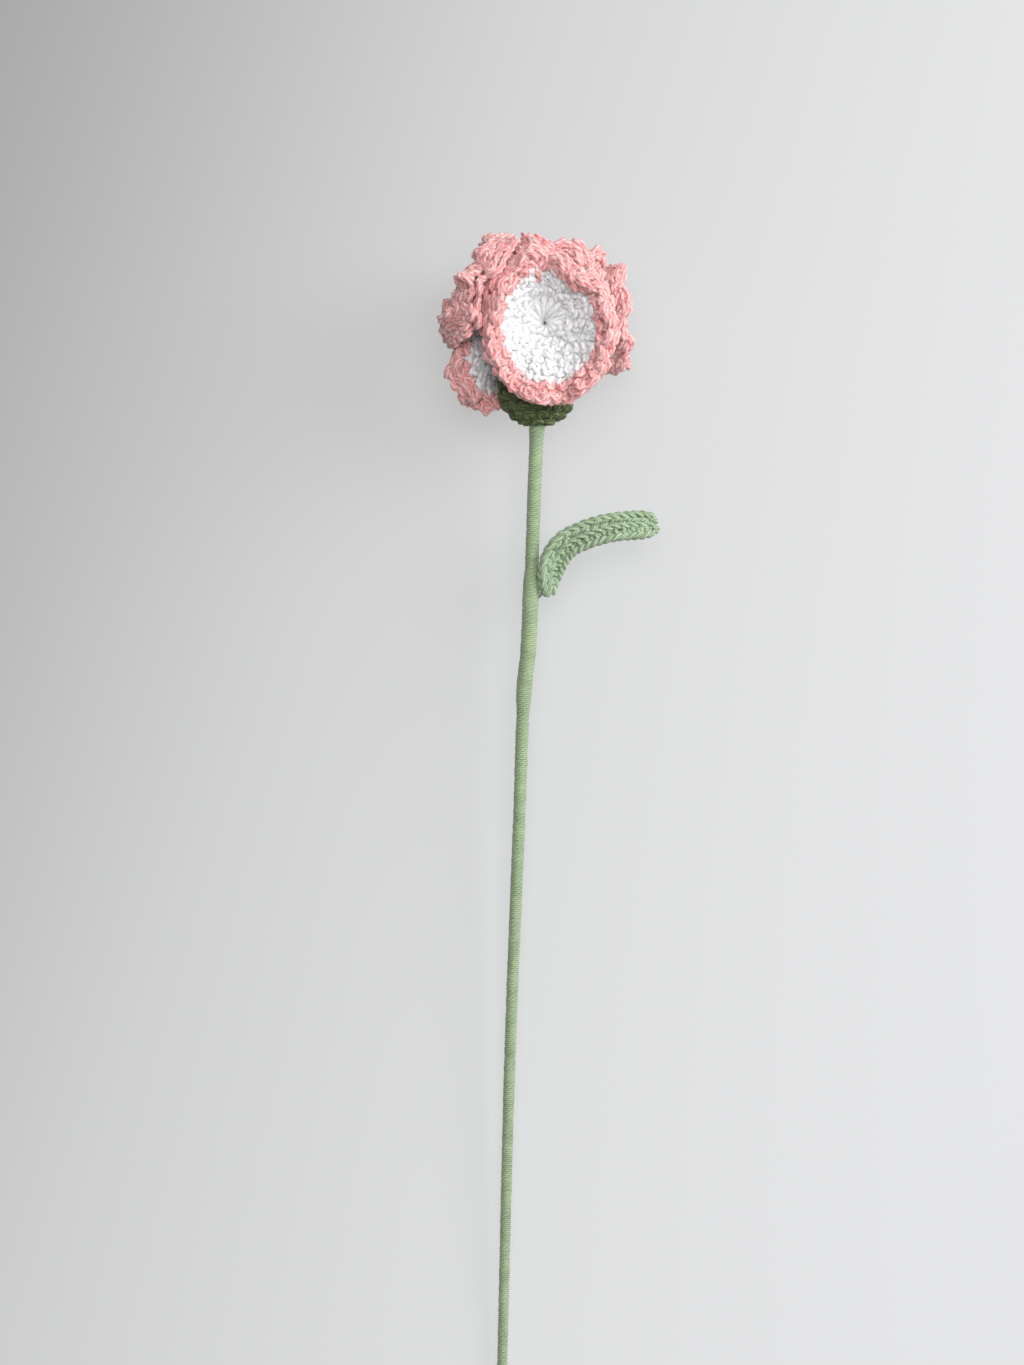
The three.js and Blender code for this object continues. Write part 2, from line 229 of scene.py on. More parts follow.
def makeYarn(name):
    look = yarns[name]
    material = bpy.data.materials.new(name)
    material.use_nodes = True
    tree = material.node_tree
    shader = tree.nodes["Principled BSDF"]
    group = tree.nodes.new("ShaderNodeGroup")
    group.node_tree = yarnGroup
    group.inputs["Plies"].default_value = look["plies"]
    group.inputs["Twists"].default_value = look["twists"]
    group.inputs["Fibre"].default_value = look["fibre"]
    # the mask mixes in the second colour: painted shade in the grooves between plies, plus random
    # patches of uneven colour
    shade = mathNode(tree, "MULTIPLY", group.outputs["Groove"], look["grooves"])
    patch = mathNode(tree, "SUBTRACT", group.outputs["Patch"], yarnFinish["patchMiddle"])
    uneven = mathNode(tree, "MULTIPLY", patch, yarnFinish["patchDepth"])
    mask = mathNode(tree, "ADD", shade, uneven, clamp=True)
    mix = tree.nodes.new("ShaderNodeMix")
    mix.data_type = "RGBA"
    mix.inputs["A"].default_value = (*look["light"], 1)
    mix.inputs["B"].default_value = (*look["grooveShade"], 1)
    link(tree, mask, mix.inputs["Factor"])
    link(tree, mix.outputs["Result"], shader.inputs["Base Color"])
    bump = tree.nodes.new("ShaderNodeBump")
    bump.inputs["Strength"].default_value = yarnFinish["bump"]
    bump.inputs["Distance"].default_value = look["relief"] * mm
    link(tree, group.outputs["Height"], bump.inputs["Height"])
    link(tree, bump.outputs["Normal"], shader.inputs["Normal"])
    shader.inputs["Roughness"].default_value = look["roughness"]
    shader.inputs["Sheen Weight"].default_value = look["sheen"]
    shader.inputs["Sheen Roughness"].default_value = yarnFinish["sheenRoughness"]
    shader.inputs["Subsurface Weight"].default_value = look["inner"]
    shader.inputs["Subsurface Radius"].default_value = look["bleed"]
    shader.inputs["Subsurface Scale"].default_value = yarnFinish["bleedDepth"] * mm
    return material


yarnMaterials = {name: makeYarn(name) for name in yarns}
print("yarn materials made")

# strands of yarn

strandEnd = 0.75  # how thick a strand is at its two ends


def newYarnCurve(name, diameter):
    data = bpy.data.curves.new(name, "CURVE")
    data.dimensions = "3D"
    data.bevel_depth = diameter / 2 * mm
    data.bevel_resolution = 1  # six sides round
    data.use_fill_caps = True
    return data


def addStrand(curve, points, width=1.0):
    # one strand through the points, a little thinner at its two ends and never in the table
    spline = curve.splines.new("POLY")
    spline.points.add(len(points) - 1)
    last = len(points) - 1
    radius = curve.bevel_depth / mm * width
    for i, point in enumerate(points):
        height = stem["restHeight"] - point.dot(tableDown)
        raised = point - tableDown * max(0, radius - height)
        spline.points[i].co = (*place(raised), 1)
        spline.points[i].radius = width * (strandEnd if i in (0, last) else 1.0)
    spline.use_smooth = True


def addRun(curve, points, each, width=1.0):
    # a long strand, in lengths that follow on from one another
    for start in range(0, len(points) - 1, each):
        part = points[start : start + each + 1]
        if len(part) > 1:
            addStrand(curve, part, width)


def finishPiece(name, curve, materialName, nodes):
    source = bpy.data.objects.new(name + "Strands", curve)
    bpy.context.scene.collection.objects.link(source)
    bpy.context.view_layer.update()
    shape = source.evaluated_get(bpy.context.evaluated_depsgraph_get())
    mesh = bpy.data.meshes.new_from_object(shape)
    bpy.data.objects.remove(source)
    mesh.name = name
    piece = bpy.data.objects.new(name, mesh)
    bpy.context.scene.collection.objects.link(piece)
    mesh.materials.clear()
    mesh.materials.append(yarnMaterials[materialName])
    mesh.shade_smooth()
    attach(piece, "root")
    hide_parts(*nodes)
    print(name, len(mesh.polygons), "faces")
    return piece


def twistedPair(curve, centres, normals, turns, spread, width=1.0, phase=0.0, flat=1.0):
    # two strands wound round each other along a line of points
    last = len(centres) - 1
    for strand in range(2):
        points = []
        for i, centre in enumerate(centres):
            ahead = centres[min(i + 1, last)] - centres[max(i - 1, 0)]
            side = normals[i].cross(ahead).normalized()
            angle = fullTurn * turns * i / last + phase + strand * math.pi
            aside, above = spread * math.cos(angle), spread * flat * math.sin(angle)
            points.append(centre + side * aside + normals[i] * above)
        addStrand(curve, points, width)


# the sheets that the petals are crocheted to

head = {
    "middle": Vector((2, 35, 0)),
    "pressEase": 1.2,  # how softly a petal bends where it is pressed
    "gap": 0.3,
    "thickness": 4,
}

# The same petals as the frame's, in millimetres and degrees:
# faces is the way it opens, centreShare where its white centre ends, root and rim how far out its
# middle and its edge lie, within the ball it stays in, reach half its width and height, and ruffle
# the waves of its edge. A fold is at an angle, so many degrees wide, pulls in by a share, and lifts.
# What only the crochet has: trim is how much of within the stitches' own height takes up, flutter
# the waves and depth of the worked edge, posts the share of the petal that the long stitches cover
# upwards and downwards, and each of tufts a row of edge loops more: its lean, how far back it
# starts, and the middle and spread of the angles it covers, where it isn't all round.
petals = {
    "front": {
        "faces": (0.04, -0.02, 1), "centreShare": 0.74, "root": 8, "rim": 21, "within": 36.5,
        "reach": (22, 26.5), "shift": (2, -1), "curl": 0.72, "ruffle": (7, 1),
        "folds": [(92, 12, 0.02, -6), (58, 24, 0.3, 4), (-15, 30, 0, 2), (-120, 40, 0, -2)],
        "trim": 1.2, "flutter": (9, 0.8), "posts": (0.38, 0.2),
        "tufts": [(-3.6, 0), (-6.2, 0.5, 175, 45)],
    },
    "right": {
        "faces": (0.97, 0.05, -0.06), "centreShare": 0.6, "root": 8, "rim": 31, "within": 34,
        "reach": (23, 21), "shift": (1, 2), "curl": 0.9, "ruffle": (6, 1.6),
        "folds": [(90, 45, 0, -4), (-100, 50, 0.12, -6)],
        "trim": 3.8, "flutter": (9, 1.7), "posts": (0.3, 0.3),
        "tufts": [(-3.6, 0), (3.8, 1), (3.4, 4)],
    },
    "left": {
        "faces": (-0.86, 0.45, 0.05), "centreShare": 0.6, "root": 8, "rim": 29, "within": 37,
        "reach": (24, 21), "shift": (-1, 0), "curl": 0.9, "ruffle": (6, 1.4),
        "folds": [(0, 40, 0.22, 4)],
        "trim": 1.5, "flutter": (10, 1.7), "posts": (0.3, 0.3),
        "tufts": [
            (-3.6, 0), (3.8, 1), (3.4, 4),
            (-6.5, 0.5, 0, 65), (-8.5, 3, 0, 60), (-6, 5, 0, 60), (-4.5, 8, 0, 60),
        ],
    },
    "side": {
        "faces": (-0.8, -0.32, -0.5), "centreShare": 0.74, "root": 9, "rim": 27, "within": 39.5,
        "reach": (23, 22), "shift": (0, 0), "curl": 0.9, "ruffle": (5, 1.4),
        "folds": [(8, 24, 0.15, -5), (-42, 26, -0.08, 3), (-100, 26, 0.2, -3)],
        "trim": 1.2, "flutter": (9, 1.5), "posts": (0.3, 0.3),
        "tufts": [(3.6, 1)],
    },
    "top": {
        "faces": (0.14, 0.93, -0.25), "centreShare": 0.6, "root": 8, "rim": 23.5, "within": 31.5,
        "reach": (25, 23), "shift": (0, 0), "curl": 0.85, "ruffle": (7, 1.2),
        "folds": [],
        "trim": 3.2, "flutter": (10, 1.7), "posts": (0.3, 0.3),
        "tufts": [(-3.6, 0), (3.8, 1), (3.4, 4)],
    },
    "back": {
        "faces": tuple(tableDown), "centreShare": 0.65, "root": 8, "rim": 29, "within": 36,
        "reach": (20, 20), "shift": (-1, 0), "curl": 0.8, "ruffle": (6, 1),
        "folds": [],
        "trim": 1.5, "flutter": (8, 1.0), "posts": (0.3, 0.3),
        "tufts": [],
    },
}

# radius and height of the calyx, from the stem to its mouth
calyxOutline = [
    (stem["collarDiameter"] / 2, 0),
    (0.55 * calyx["radius"], 0.07 * calyx["height"]),
    (0.82 * calyx["radius"], 0.2 * calyx["height"]),
    (0.97 * calyx["radius"], 0.38 * calyx["height"]),
    (calyx["radius"], calyx["widestAt"] * calyx["height"]),
    ((calyx["radius"] + calyx["mouthRadius"]) / 2, 0.84 * calyx["height"]),
    (calyx["mouthRadius"], calyx["height"]),
]
calyxMiddle = Vector((0, 0.55 * calyx["height"], 0))
calyxBall = max(math.hypot(r, y - calyxMiddle.y) for r, y in calyxOutline)


def easedAbove(distance, least):
    over = (distance - least) / head["pressEase"]
    return distance if over > 30 else least + head["pressEase"] * math.log1p(math.exp(over))


def petalAxes(petal):
    out = Vector(petal["faces"]).normalized()
    reference = Vector((0, 0, 1)) if abs(out.y) > 0.8 else Vector((0, 1, 0))
    up = (reference - out * reference.dot(out)).normalized()
    return {"out": out, "up": up, "across": up.cross(out)}


def meetingPlanes(petal):
    own = petalAxes(petal)["out"]
    ways = [petalAxes(other)["out"] for other in petals.values()]
    return [(own - way).normalized() for way in ways if (way - own).length > 1e-6]


def pressed(point, within, meeting):
    # within the petal's ball and clear of the petals beside it, the calyx and the table
    half = head["thickness"] / 2
    reached = (point - head["middle"]).length
    inside = easedAbove(within - reached, 0)
    point = head["middle"] + (point - head["middle"]) * ((within - inside) / reached)
    for above in (easedAbove, max, max, max):
        for normal in meeting:
            apart = (point - head["middle"]).dot(normal)
            point = point + normal * (above(apart, half + head["gap"] / 2) - apart)
        away = point - calyxMiddle
        clear = above(away.length, calyxBall + half + 2 * head["gap"])
        point = calyxMiddle + away * (clear / away.length)
        height = stem["restHeight"] - point.dot(tableDown)
        point = point + tableDown * (height - above(height, half))
    return point


def petalPoint(petal, axes, meeting, share, turn):
    waves, waveHeight = petal["ruffle"]
    pull = 1
    lift = waveHeight * math.cos(waves * turn) * share**3
    for at, spread, foldPull, foldLift in petal["folds"]:
        apart = (math.degrees(turn) - at + 180) % 360 - 180
        strength = math.exp(-((apart / spread) ** 2))
        pull -= foldPull * strength * share
        lift += foldLift * strength * share * share
    width = share * (petal["reach"][0] * math.cos(turn) * pull + petal["shift"][0])
    height = share * (petal["reach"][1] * math.sin(turn) * pull + petal["shift"][1])
    out = lerp(petal["root"], petal["rim"], share ** petal["curl"]) + lift
    raw = head["middle"] + axes["across"] * width + axes["up"] * height + axes["out"] * out
    return pressed(raw, petal["within"] - petal["trim"], meeting)


# furthest and flutterFrom are shares of the way from a petal's middle to its edge
grid = {"shares": 40, "turns": 96, "furthest": 1.12, "flutterFrom": 0.6}


def makeSheet(petal):
    # the sheet measured once on a grid; the function it gives reads a point and the way it
    # faces off that grid, by share of the way to the edge and angle round the petal
    axes = petalAxes(petal)
    meeting = meetingPlanes(petal)
    shares, turns, furthest = grid["shares"], grid["turns"], grid["furthest"]
    points = [
        [
            petalPoint(petal, axes, meeting, furthest * i / shares, fullTurn * k / turns)
            for k in range(turns)
        ]
        for i in range(shares + 1)
    ]
    facing = []
    for i in range(shares + 1):
        low, high = max(i, 2) - 1, min(max(i, 2) + 1, shares)
        near = max(i, 1)
        row = []
        for k in range(turns):
            over = points[high][k] - points[low][k]
            beside = points[near][(k + 1) % turns] - points[near][k - 1]
            row.append(over.cross(beside).normalized())
        facing.append(row)
    waves, depth = petal["flutter"]
    for i in range(shares + 1):
        grown = smoothstep(grid["flutterFrom"], 1.0, furthest * i / shares)
        for k in range(turns):
            turn = fullTurn * k / turns
            sway = math.sin(waves * turn + 2 * math.sin(turn)) + 0.4 * math.sin(2.3 * waves * turn)
            points[i][k] += facing[i][k] * (depth * grown * sway)

    def read(share, turn):
        at = min(max(share / furthest, 0), 0.9999) * shares
        i = int(at)
        beside = (turn / fullTurn % 1) * turns
        k = int(beside) % turns
        after = (k + 1) % turns
        s = at - i
        t = beside - int(beside)

        def between(values):
            inner = values[i][k].lerp(values[i][after], t)
            return inner.lerp(values[i + 1][k].lerp(values[i + 1][after], t), s)

        return between(points), between(facing).normalized()

    return read


def sheetLength(petal):
    # from the middle to the edge, along the sheet
    size = sum(petal["reach"]) / 2
    return math.hypot(size, 0.9 * (petal["rim"] - petal["root"]))


# crocheted petals

stitch = {
    "yarn": 1.6,  # diameter of a strand; a stitch has two, wound round each other
    "spread": 0.62,  # of the two strands from a stitch's middle
    "plump": 1.16,  # how much thicker than the yarn a strand swells in a stitch
    "lengths": 8,  # straight lengths in one strand
    "sunk": 0.1,  # where a stitch's feet are, above the sheet's middle
}
core = {"pitch": 1.8, "perTurn": 30, "each": 10}  # the spiral of yarn laid inside a petal
roundness = 0.85  # the radius at a petal's edge, as a share of its length along the sheet


def makeCore(curve, sheet, inner, outer, length, width):
    # yarn laid round and round through the middle of the sheet
    turns = max(1, (outer - inner) * length / core["pitch"])
    steps = math.ceil(turns * core["perTurn"])
    points = []
    for i in range(steps + 1):
        share = lerp(inner, outer, i / steps)
        points.append(sheet(share, fullTurn * turns * i / steps)[0])
    addRun(curve, points, core["each"], width)


def makeLoop(curve, sheet, spot, size, face, tilt, loft, length, rng):
    # one stitch: up from inside the sheet, over, and back in beside where it rose
    share, turn = spot
    wide, tall = size
    radius = max(4, share * length * roundness)
    centres = []
    normals = []
    for k in range(stitch["lengths"] + 1):
        s = k / stitch["lengths"]
        angle = math.pi * lerp(-0.3, 1.3, s)
        across = 0.5 * (wide - 1.3 * stitch["yarn"]) * math.cos(angle)
        along = 0.5 * (tall - stitch["yarn"]) * math.sin(angle)
        aside = across * math.cos(tilt) - along * math.sin(tilt)
        ahead = across * math.sin(tilt) + along * math.cos(tilt)
        point, way = sheet(share + ahead / length, turn + aside / radius)
        centres.append(point + way * (face * (stitch["sunk"] + loft * math.sin(math.pi * s) ** 0.6)))
        normals.append(way)
    twistedPair(
        curve, centres, normals, rng.uniform(1.1, 1.6), stitch["spread"],
        stitch["plump"] * rng.uniform(0.92, 1.08), rng.uniform(0, fullTurn),
    )


def makeRow(curve, sheet, share, face, length, rng, size, loft, keep=None):
    wide, tall = size
    count = max(5, round(fullTurn * share * length * roundness / wide))
    offset = rng.uniform(0, 1)
    for i in range(count):
        turn = fullTurn * (i + offset + rng.uniform(-0.2, 0.2)) / count
        if keep and not keep(share, turn):
            continue
        spot = (share + rng.uniform(-0.6, 0.6) / length, turn)
        makeLoop(
            curve, sheet, spot, (wide * rng.uniform(0.95, 1.25), tall * rng.uniform(0.9, 1.25)),
            face, rng.gauss(0.15, 0.5), loft * rng.uniform(0.75, 1.3), length, rng,
        )


posts = {
    "count": 15,
    "hole": 0.055,  # share of the petal that they leave open in its middle
    "loft": 0.9,
    "thick": 1.6,
    "spread": 1.0,
    "flat": 0.4,  # how flat its two strands lie beside each other
    "sway": 0.05,
}


def makePosts(curve, sheet, reach, face, rng):
    # long stitches side by side from the hole in the middle
    for i in range(posts["count"]):
        turn = fullTurn * (i + rng.uniform(-0.12, 0.12)) / posts["count"]
        outer = reach(turn) + rng.uniform(-0.02, 0.02)
        centres = []
        normals = []
        for k in range(stitch["lengths"] + 1):
            s = k / stitch["lengths"]
            point, way = sheet(lerp(posts["hole"], outer, s), turn + posts["sway"] * math.sin(3 * s + i))
            lift = posts["loft"] * math.sin(math.pi * s) ** 0.5
            centres.append(point + way * (face * (stitch["sunk"] + lift)))
            normals.append(way)
        twistedPair(
            curve, centres, normals, rng.uniform(0.1, 0.35), posts["spread"], posts["thick"],
            rng.uniform(-0.3, 0.3), posts["flat"],
        )


picot = {
    "width": 4.9,
    "depth": 3,  # how far back from the edge it starts
    "tip": 1.6,  # how far past the edge it stands
    "leans": (-2.0, 0.1, 2.1),  # of the rows right on the edge
    "footLean": 0.45,  # share of its lean that it has at its feet
    "tilt": 2,
}


def makePicots(curve, sheet, share, tip, lean, count, rng, part=(0, 180)):
    # loops that stand out along the edge, leaning to one face of the petal, over part of it:
    # so many degrees to each side of a middle
    offset = rng.uniform(0, 1)
    middle, spread = part
    for i in range(count):
        turn = fullTurn * (i + offset + rng.uniform(-0.2, 0.2)) / count
        if abs((math.degrees(turn) - middle + 180) % 360 - 180) > spread:
            continue
        out = tip + rng.uniform(-0.045, 0.03)
        slant = rng.uniform(-0.35, 0.35)
        width = fullTurn / count * rng.uniform(0.36, 0.52)
        tilt = rng.uniform(-0.5, 0.5)
        centres = []
        normals = []
        for k in range(stitch["lengths"] + 1):
            angle = math.pi * lerp(-0.2, 1.2, k / stitch["lengths"])
            s = 0.5 + 0.5 * math.sin(angle)
            point, way = sheet(lerp(share, out, s), turn + width * (math.cos(angle) + slant * s))
            leant = lean * lerp(picot["footLean"], 1, s)
            centres.append(point + way * (leant + tilt * math.cos(angle) * picot["tilt"]))
            normals.append(way)
        twistedPair(
            curve, centres, normals, rng.uniform(1.2, 1.8), stitch["spread"],
            stitch["plump"] * rng.uniform(0.9, 1.08), rng.uniform(0, fullTurn),
        )


def headCorners():
    # the ways from the head's middle to where three petals meet, each with their first's name
    ways = {name: petalAxes(petal)["out"] for name, petal in petals.items()}
    corners = []
    for first, second, third in itertools.combinations(ways, 3):
        way = (ways[first] - ways[second]).cross(ways[first] - ways[third]).normalized()
        way *= math.copysign(1, way.dot(ways[first]))
        if all(way.dot(ways[first]) > way.dot(other) - 1e-6 for other in ways.values()):
            corners.append((first, way))
    return corners


tuft = {
    "loops": 34,
    "loop": (1.4, 1.9),
    "radius": 7.5,
    "depth": (6.5, 12),  # under the ball that the petal stays in
    "fall": 0.3,  # how much lower its sides lie
    "above": 0.3,  # corners lower down the head have none
}


def makeTuft(curve, way, within, rng):
    # ruffled edge that fills the corner between three petals
    wide, tall = tuft["loop"]
    for _ in range(tuft["loops"]):
        spin = Vector([rng.gauss(0, 1) for _ in range(3)]).normalized()
        aside = spin.cross(way).normalized() * (tuft["radius"] * math.sqrt(rng.random()))
        reach = within - lerp(*tuft["depth"], rng.random() ** 1.6) - tuft["fall"] * aside.length
        middle = head["middle"] + way * reach + aside
        if (middle - calyxMiddle).length < calyxBall + head["thickness"]:
            continue
        across = spin.cross(way + aside * 0.05).normalized()
        up = (way + aside * 0.06 + spin * 0.4).normalized()
        centres = []
        for k in range(stitch["lengths"] + 1):
            angle = math.pi * lerp(-0.35, 1.35, k / stitch["lengths"])
            centres.append(middle + across * (wide * math.cos(angle)) + up * (tall * math.sin(angle)))
        twistedPair(curve, centres, [way] * len(centres), rng.uniform(0.8, 1.3), stitch["spread"])


centreWork = {
    "inside": 1.75,  # how thick the yarn laid inside is
    "insideFrom": 0.09,
    "insideShort": 0.02,
    "size": (3.9, 4.1),  # of a stitch
    "loft": 1.15,
    "step": 2.6,  # from row to row
    "past": 0.4,  # how far the last row lies past the join
    "clear": 0.02,  # of the posts
}
frillWork = {
    "inside": 1.6,
    "insidePast": 1.6,
    "insideTo": 0.97,
    "size": (4.0, 4.0),
    "loft": 1.9,
    "step": 3.1,
    "first": 1.2,  # from the edge to the first row
    "last": 0.9,  # from the join to the last one
}


def makeCentre(name, petal, sheet, length, rng):
    postsUp, postsDown = petal["posts"]

    def postsReach(turn):
        return lerp(postsDown, postsUp, smoothstep(-0.35, 0.5, math.sin(turn)))

    def beyondPosts(share, turn):
        return share > postsReach(turn) + centreWork["clear"]

    curve = newYarnCurve(name + "Centre", stitch["yarn"])
    inner, outer = centreWork["insideFrom"], petal["centreShare"] - centreWork["insideShort"]
    makeCore(curve, sheet, inner, outer, length, centreWork["inside"])
    for face in (1, -1):
        makePosts(curve, sheet, postsReach, face, rng)
        share = petal["centreShare"] + centreWork["past"] / length
        while share > postsDown:
            size, loft = centreWork["size"], centreWork["loft"]
            makeRow(curve, sheet, share, face, length, rng, size, loft, beyondPosts)
            share -= centreWork["step"] / length
    finishPiece(name + "PetalCentre", curve, "whiteYarn", [name + "_petal_centre"])


def makeFrill(name, petal, sheet, length, rng):
    curve = newYarnCurve(name + "Frill", stitch["yarn"])
    join = petal["centreShare"]
    inner, outer = join + frillWork["insidePast"] / length, frillWork["insideTo"]
    makeCore(curve, sheet, inner, outer, length, frillWork["inside"])
    for face in (1, -1):
        share = 1 - frillWork["first"] / length
        while share > join + frillWork["last"] / length:
            makeRow(curve, sheet, share, face, length, rng, frillWork["size"], frillWork["loft"])
            share -= frillWork["step"] / length
    count = round(fullTurn * length * roundness / picot["width"])
    for lean in picot["leans"]:
        inner, outer = 1 - picot["depth"] / length, 1 + picot["tip"] / length
        makePicots(curve, sheet, inner, outer, lean, count, rng)
    for lean, back, *part in petal["tufts"]:
        inner, outer = 1 - (back + picot["depth"]) / length, 1 - back / length
        makePicots(curve, sheet, inner, outer, lean, count, rng, part or (0, 180))
    for owner, way in corners:
        if owner == name and way.y > tuft["above"]:
            makeTuft(curve, way, petal["within"], rng)
    finishPiece(name + "PetalFrill", curve, "pinkYarn", [name + "_petal_frill"])


corners = headCorners()
for seed, (name, petal) in enumerate(petals.items(), start=11):
    rng = random.Random(seed)
    sheet = makeSheet(petal)
    makeCentre(name, petal, sheet, sheetLength(petal), rng)
    makeFrill(name, petal, sheet, sheetLength(petal), rng)

# calyx

calyxStitch = {
    "yarn": 1.7,
    "spread": 0.6,
    "width": 4.3,
    "loop": (1.3, 1.5),
    "slant": 0.35,
    "rows": 7,
    "sink": 1.0,  # of the stitches' feet under the calyx's outside
    "insideTurns": 17,
    "insideThick": 1.5,
    "insideDepth": 0.6,
    "length": 34,  # along the outside, from stem to mouth
}


def onCalyx(along, angle, height):
    # along runs from 0 at the stem to 1 at the mouth
    spans = len(calyxOutline) - 1
    at = min(max(along, 0), 0.9999) * spans
    i = int(at)
    radius = lerp(calyxOutline[i][0], calyxOutline[i + 1][0], at - i)
    y = lerp(calyxOutline[i][1], calyxOutline[i + 1][1], at - i)
    slope = Vector((
        calyxOutline[i + 1][1] - calyxOutline[i][1],
        calyxOutline[i][0] - calyxOutline[i + 1][0],
    )).normalized()
    lean = Vector((math.sin(angle), 0, math.cos(angle)))
    facing = lean * slope.x + Vector((0, slope.y, 0))
    return lean * radius + Vector((0, y, 0)) + facing * (height - calyxStitch["sink"])


def makeCalyx():
    rng = random.Random(5)
    curve = newYarnCurve("calyx", calyxStitch["yarn"])
    rows = calyxStitch["rows"]
    wide, tall = calyxStitch["loop"]
    perTurn = 24
    steps = calyxStitch["insideTurns"] * perTurn
    depth = calyxStitch["insideDepth"]
    inside = [onCalyx(i / steps, fullTurn * i / perTurn, -depth) for i in range(steps + 1)]
    addRun(curve, inside, core["each"], calyxStitch["insideThick"])
    for row in range(rows):
        middleAlong = (row + 0.55) / rows
        radius = math.hypot(*onCalyx(middleAlong, 0, 0).xz)
        count = max(7, round(fullTurn * radius / calyxStitch["width"]))
        for i in range(count):
            middle = fullTurn * (i + 0.5 * (row % 2) + rng.uniform(-0.16, 0.16)) / count
            tilt = calyxStitch["slant"] + rng.gauss(0, 0.4)
            loft = rng.uniform(0.7, 1.35)
            centres = []
            for k in range(stitch["lengths"] + 1):
                s = k / stitch["lengths"]
                angle = math.pi * lerp(-0.35, 1.35, s)
                across = wide * math.cos(angle)
                ahead = tall * math.sin(angle)
                aside = across * math.cos(tilt) - ahead * math.sin(tilt)
                ahead = across * math.sin(tilt) + ahead * math.cos(tilt)
                lift = loft * math.sin(math.pi * s) ** 0.6
                along = middleAlong + ahead / calyxStitch["length"]
                centres.append(onCalyx(along, middle + aside / max(radius, 4), lift))
            facing = onCalyx(middleAlong, middle, 1) - onCalyx(middleAlong, middle, 0)
            twistedPair(
                curve, centres, [facing] * len(centres), rng.uniform(0.7, 1.2), calyxStitch["spread"],
                rng.uniform(0.92, 1.1), rng.uniform(0, fullTurn),
            )
    finishPiece("calyxYarn", curve, "darkGreenYarn", ["calyx"])


makeCalyx()

# stem winding

# how far down the stem, and how far to the side it lies there
stemBends = [
    (0, 0),
    (leaf["along"] / 2, -1.2),
    (leaf["along"], -2.2),
    (leaf["along"] + 22, -3.2),
    (leaf["along"] + leaf["wireBound"], -4.5),
    (leaf["along"] + 2.5 * leaf["wireBound"], -6.5),
    (stem["length"] * 0.62, -9.6),
    (stem["length"], -13),
]
winding = {
    "yarn": 0.95,
    "pitch": 0.72,
    "perTurn": 12,
    "start": 0.5,
    "uneven": 0.05,  # how much a turn may stand above or below the one before
    "evenedOut": 0.85,
}
bindingEase = {"margin": 2, "up": 6, "down": 8}  # how gently the winding swells over the leaf's wire


def catmull(points, at):
    # the centripetal curve that the frame's stem and leaf follow, by share of its spans
    spans = len(points) - 1
    reached = at * spans
    i = min(int(reached), spans - 1)
    t = reached - i
    p1, p2 = points[i], points[i + 1]
    p0 = points[i - 1] if i > 0 else p1 * 2 - p2
    p3 = points[i + 2] if i + 2 <= spans else p2 * 2 - p1
    d0 = max((p1 - p0).length ** 0.5, 1e-6)
    d1 = max((p2 - p1).length ** 0.5, 1e-6)
    d2 = max((p3 - p2).length ** 0.5, 1e-6)
    m1 = ((p1 - p0) / d0 - (p2 - p0) / (d0 + d1) + (p2 - p1) / d1) * d1
    m2 = ((p2 - p1) / d1 - (p3 - p1) / (d1 + d2) + (p3 - p2) / d2) * d1
    a = p1 * 2 - p2 * 2 + m1 + m2
    b = p2 * 3 - p1 * 3 - m1 * 2 - m2
    return ((a * t + b) * t + m1) * t + p1


bendPoints = [Vector((aside, -down, 0)) for down, aside in stemBends]
bendSteps = 400
bendSamples = [catmull(bendPoints, i / bendSteps) for i in range(bendSteps + 1)]


def stemAside(down):
    for low, high in zip(bendSamples, bendSamples[1:]):
        if -high.y >= down:
            return lerp(low.x, high.x, (down + low.y) / (low.y - high.y))
    return bendSamples[-1].x


def wrapRadius(down):
    taper = lerp(stem["topDiameter"], stem["endDiameter"], min(1, down / stem["length"])) / 2
    collar = (stem["collarDiameter"] - stem["topDiameter"]) / 2
    binding = (stem["bindingDiameter"] - stem["topDiameter"]) / 2
    boundFrom = leaf["along"] - bindingEase["margin"]
    boundTo = leaf["along"] + leaf["wireBound"] + bindingEase["margin"]
    swelling = smoothstep(boundFrom - bindingEase["up"], boundFrom, down)
    bound = swelling * (1 - smoothstep(boundTo, boundTo + bindingEase["down"], down))
    return taper + collar * (1 - smoothstep(0, stem["collarHeight"], down)) + binding * bound


def makeWinding():
    rng = random.Random(3)
    curve = newYarnCurve("winding", winding["yarn"])
    start = winding["start"]
    turns = (stem["length"] - 2 * start) / winding["pitch"]
    steps = round(turns * winding["perTurn"])
    points = []
    wobble = 0
    for i in range(steps + 1):
        down = lerp(start, stem["length"] - start, i / steps)
        wobble = winding["evenedOut"] * wobble + rng.uniform(-winding["uneven"], winding["uneven"])
        angle = fullTurn * i / winding["perTurn"]
        radius = wrapRadius(down) - winding["yarn"] / 2 + wobble
        points.append(
            Vector((stemAside(down) + radius * math.sin(angle), -down, radius * math.cos(angle)))
        )
    addStrand(curve, points)
    finishPiece("stemWinding", curve, "windingYarn", ["stem_wrap"])


makeWinding()

# leaf


def leafLine():
    foot = stemAside(leaf["along"]) + wrapRadius(leaf["along"])
    start = -leaf["along"]
    return [
        Vector((foot + 2.6, start - 2, 0)),
        Vector((foot + 4, start + 8, 1.5)),
        Vector((foot + 8.5, start + 15.5, 3)),
        Vector((foot + 16, start + 19.5, 4)),
        Vector((foot + 25, start + 22, 4)),
        Vector((foot + 34, start + 23, 2.5)),
        Vector((foot + 41.5, start + 23.2, 0.5)),
    ]


